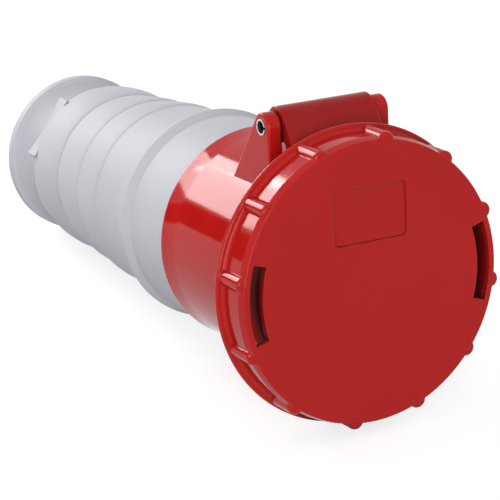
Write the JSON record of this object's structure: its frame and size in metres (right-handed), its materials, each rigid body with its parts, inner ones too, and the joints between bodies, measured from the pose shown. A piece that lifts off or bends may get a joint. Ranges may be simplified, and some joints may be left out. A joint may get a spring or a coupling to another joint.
{
  "type": "industrial inline socket",
  "caption": "Round inline power socket: red collar with hinged bayonet cap, grey handle with swelling bands, spanner flats and a flared cable gland.",
  "frame": {"origin": "middle of the contact carrier's front face, on the coupling axis", "axes": "+Y along the coupling axis from the mouth towards the cable, +Z towards the lid's hinge, +X to the right seen from the front"},
  "size_m": [0.1162, 0.2595, 0.1226],
  "materials": {
    "red_moulding": "gloss",
    "grey_moulding": "satin",
    "dark_moulding": "matte",
    "contact_brass": "turned",
    "steel": "bright",
    "seal_rubber": "matte"
  },
  "bodies": {
    "socket": {"front_housing": "red_moulding", "hinge_pin": "steel", "rear_shell": "grey_moulding", "housing_seal": "seal_rubber", "gland_nut": "grey_moulding", "gland_seal": "seal_rubber", "gland_washer": "dark_moulding", "contact_carrier": "dark_moulding", "contact_insulators": "dark_moulding", "carrier_seal": "seal_rubber", "carrier_screws": "steel", "contact_retainer": "dark_moulding", "contact_l1": "contact_brass", "contact_l2": "contact_brass", "contact_l3": "contact_brass", "contact_n": "contact_brass", "contact_pe": "contact_brass", "contact_pilot": "contact_brass", "contact_springs": "steel", "terminal_screws": "steel"},
    "lid": {"lid_arm": "red_moulding", "lid_gasket": "seal_rubber", "hub_seal": "seal_rubber"},
    "cap": {"bayonet_cap": "red_moulding", "cap_washer": "steel", "cap_screw": "steel"}
  },
  "joints": [
    {"name": "lid_hinge", "type": "hinge", "parent": "socket", "child": "lid", "pos_m": [0, 0.0213, 0.0575], "axis": [-1, 0, 0], "range_deg": [0, 180]},
    {"name": "bayonet_turn", "type": "hinge", "parent": "lid", "child": "cap", "pos_m": [0, 0, 0], "axis": [0, 1, 0], "range_deg": [0, 30]}
  ]
}
